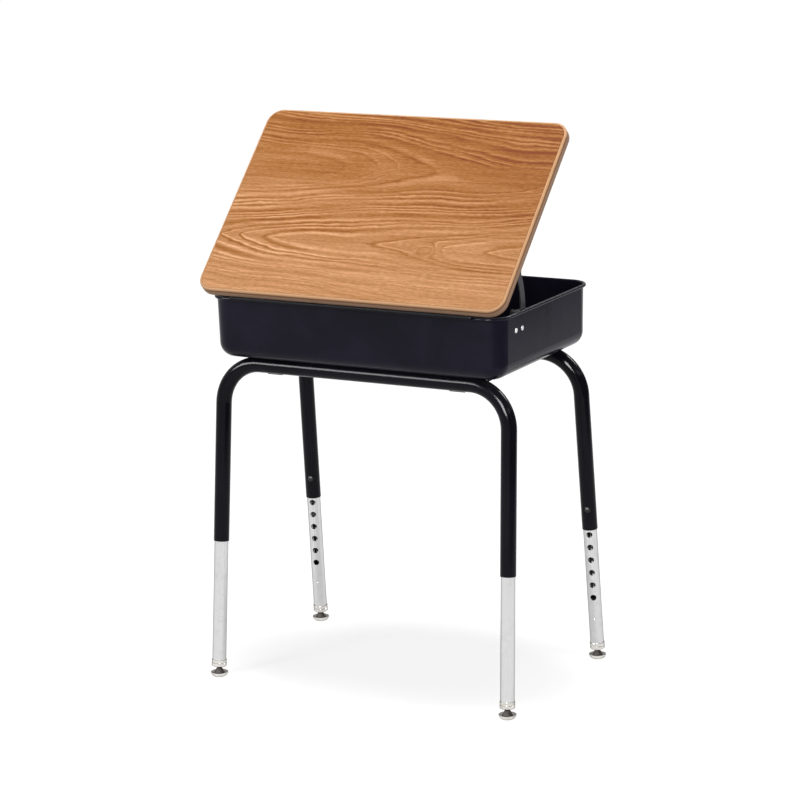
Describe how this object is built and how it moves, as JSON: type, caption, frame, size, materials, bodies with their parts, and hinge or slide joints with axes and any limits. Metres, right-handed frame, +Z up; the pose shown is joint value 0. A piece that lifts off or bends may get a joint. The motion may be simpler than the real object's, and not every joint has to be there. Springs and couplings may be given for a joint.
{
  "type": "study desk",
  "caption": "Open-lid study desk: a hinged woodgrain lid on friction stays over a drawn steel book box, on two bent tube frames with height-adjustable chrome legs and tilting glides.",
  "frame": {"origin": "on the floor, midway between the four glides", "axes": "+Z up; +X to the sitter's right hand; the sitter is on the -Y side and the lid hinges on the +Y side"},
  "size_m": [0.6232, 0.4088, 1.0133],
  "materials": {
    "tube_paint": "gloss black baked enamel",
    "box_paint": "satin blue-black baked enamel",
    "leg_chrome": "bright chrome plate",
    "nickel": "nickel plate, a little worn",
    "zinc": "bright zinc plate",
    "black_screw": "black oxide",
    "rivet": "bright, set",
    "stay_steel": "dull dark grey steel",
    "hinge_steel": "dull black enamel",
    "nylon": "natural nylon",
    "core_board": "raw particle board",
    "woodgrain_laminate": "satin woodgrain laminate",
    "backing_sheet": "plain brown backing sheet",
    "edge_band": "satin tan edge band",
    "bumper_rubber": "soft",
    "cushion_rubber": "dull brown-grey rubber"
  },
  "bodies": {
    "desk": {"leg_frame_front": "tube_paint", "leg_frame_rear": "tube_paint", "cross_strap_left": "tube_paint", "box_tab_front_left": "tube_paint", "box_tab_rear_left": "tube_paint", "cross_strap_right": "tube_paint", "box_tab_front_right": "tube_paint", "box_tab_rear_right": "tube_paint", "book_box": "box_paint", "box_screws": "zinc", "box_nuts": "zinc", "adjusting_screws": "black_screw", "bracket_rivets": "rivet", "stay_bracket_left": "stay_steel", "friction_pin_left": "zinc", "friction_pads_left": "nylon", "clamp_lever_left": "stay_steel", "disc_springs_left": "stay_steel", "stay_bracket_right": "stay_steel", "friction_pin_right": "zinc", "friction_pads_right": "nylon", "clamp_lever_right": "stay_steel", "disc_springs_right": "stay_steel", "hinge_box_leaf": "hinge_steel", "hinge_pin": "zinc"},
    "lid": {"lid_core": "core_board", "lid_laminate": "woodgrain_laminate", "lid_backing_sheet": "backing_sheet", "lid_edge_band": "edge_band", "lid_bumpers": "bumper_rubber", "hinge_lid_leaf": "hinge_steel", "hinge_screws": "zinc", "stay_arm_screws": "zinc", "stay_arm_left": "stay_steel", "stay_arm_right": "stay_steel"},
    "leg_front_left": {"lower_leg_front_left": "leg_chrome", "glide_collar_front_left": "nickel"},
    "foot_front_left": {"glide_stud_front_left": "zinc", "glide_cushion_front_left": "cushion_rubber", "glide_base_front_left": "nickel"},
    "leg_rear_left": {"lower_leg_rear_left": "leg_chrome", "glide_collar_rear_left": "nickel"},
    "foot_rear_left": {"glide_stud_rear_left": "zinc", "glide_cushion_rear_left": "cushion_rubber", "glide_base_rear_left": "nickel"},
    "leg_front_right": {"lower_leg_front_right": "leg_chrome", "glide_collar_front_right": "nickel"},
    "foot_front_right": {"glide_stud_front_right": "zinc", "glide_cushion_front_right": "cushion_rubber", "glide_base_front_right": "nickel"},
    "leg_rear_right": {"lower_leg_rear_right": "leg_chrome", "glide_collar_rear_right": "nickel"},
    "foot_rear_right": {"glide_stud_rear_right": "zinc", "glide_cushion_rear_right": "cushion_rubber", "glide_base_rear_right": "nickel"}
  },
  "joints": [
    {"name": "lid_hinge", "type": "hinge", "parent": "desk", "child": "lid", "pos_m": [0, 0.193, 0.71415], "axis": [-1, 0, 0], "range_deg": [-44.6, 1.9]},
    {"name": "leg_slide_front_left", "type": "slide", "parent": "desk", "child": "leg_front_left", "axis": [0.0151, 0.0828, 0.9965], "range_m": [-0.0246, 0.1722]},
    {"name": "glide_tilt_front_left", "type": "hinge", "parent": "leg_front_left", "child": "foot_front_left", "pos_m": [-0.29584, -0.18856, 0.02339], "axis": [1, 0, 0], "range_deg": [-15, 5]},
    {"name": "leg_slide_rear_left", "type": "slide", "parent": "desk", "child": "leg_rear_left", "axis": [0.0151, -0.0828, 0.9965], "range_m": [-0.0246, 0.1722]},
    {"name": "glide_tilt_rear_left", "type": "hinge", "parent": "leg_rear_left", "child": "foot_rear_left", "pos_m": [-0.29584, 0.18856, 0.02339], "axis": [1, 0, 0], "range_deg": [-5, 15]},
    {"name": "leg_slide_front_right", "type": "slide", "parent": "desk", "child": "leg_front_right", "axis": [-0.0151, 0.0828, 0.9965], "range_m": [-0.0246, 0.1722]},
    {"name": "glide_tilt_front_right", "type": "hinge", "parent": "leg_front_right", "child": "foot_front_right", "pos_m": [0.29584, -0.18856, 0.02339], "axis": [1, 0, 0], "range_deg": [-15, 5]},
    {"name": "leg_slide_rear_right", "type": "slide", "parent": "desk", "child": "leg_rear_right", "axis": [-0.0151, -0.0828, 0.9965], "range_m": [-0.0246, 0.1722]},
    {"name": "glide_tilt_rear_right", "type": "hinge", "parent": "leg_rear_right", "child": "foot_rear_right", "pos_m": [0.29584, 0.18856, 0.02339], "axis": [1, 0, 0], "range_deg": [-5, 15]}
  ]
}
